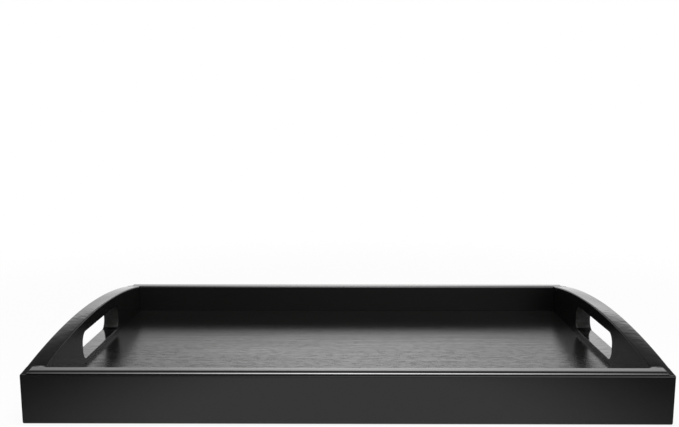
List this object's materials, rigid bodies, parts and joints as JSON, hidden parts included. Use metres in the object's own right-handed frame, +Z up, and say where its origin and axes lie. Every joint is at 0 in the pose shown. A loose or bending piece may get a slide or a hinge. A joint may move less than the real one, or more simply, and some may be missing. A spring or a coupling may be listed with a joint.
{
  "type": "serving tray",
  "caption": "Shallow rectangular wooden serving tray with straight rails along the long sides, arched end boards with hand holes, and a recessed grained panel.",
  "frame": {"origin": "on the table, under the middle of the tray", "axes": "+X along the rails to the right end board, +Y from the front rail to the back rail, +Z up"},
  "size_m": [0.508, 0.35, 0.0562],
  "materials": {
    "frame_lacquer": "black lacquer over close-grained wood, semi-gloss",
    "panel_veneer": "black-stained open-pored veneer under satin lacquer",
    "dowel_beech": "bare beech, fluted",
    "pad_felt": "pressed felt, self-adhesive"
  },
  "bodies": {
    "root": {"front_rail": "frame_lacquer", "back_rail": "frame_lacquer", "left_end_board": "frame_lacquer", "right_end_board": "frame_lacquer", "bottom_panel": "panel_veneer", "dowel_front_left_lower": "dowel_beech", "dowel_front_left_upper": "dowel_beech", "dowel_front_right_lower": "dowel_beech", "dowel_front_right_upper": "dowel_beech", "dowel_back_left_lower": "dowel_beech", "dowel_back_left_upper": "dowel_beech", "dowel_back_right_lower": "dowel_beech", "dowel_back_right_upper": "dowel_beech", "felt_pad_front_left": "pad_felt", "felt_pad_front_right": "pad_felt", "felt_pad_back_left": "pad_felt", "felt_pad_back_right": "pad_felt"}
  },
  "joints": []
}
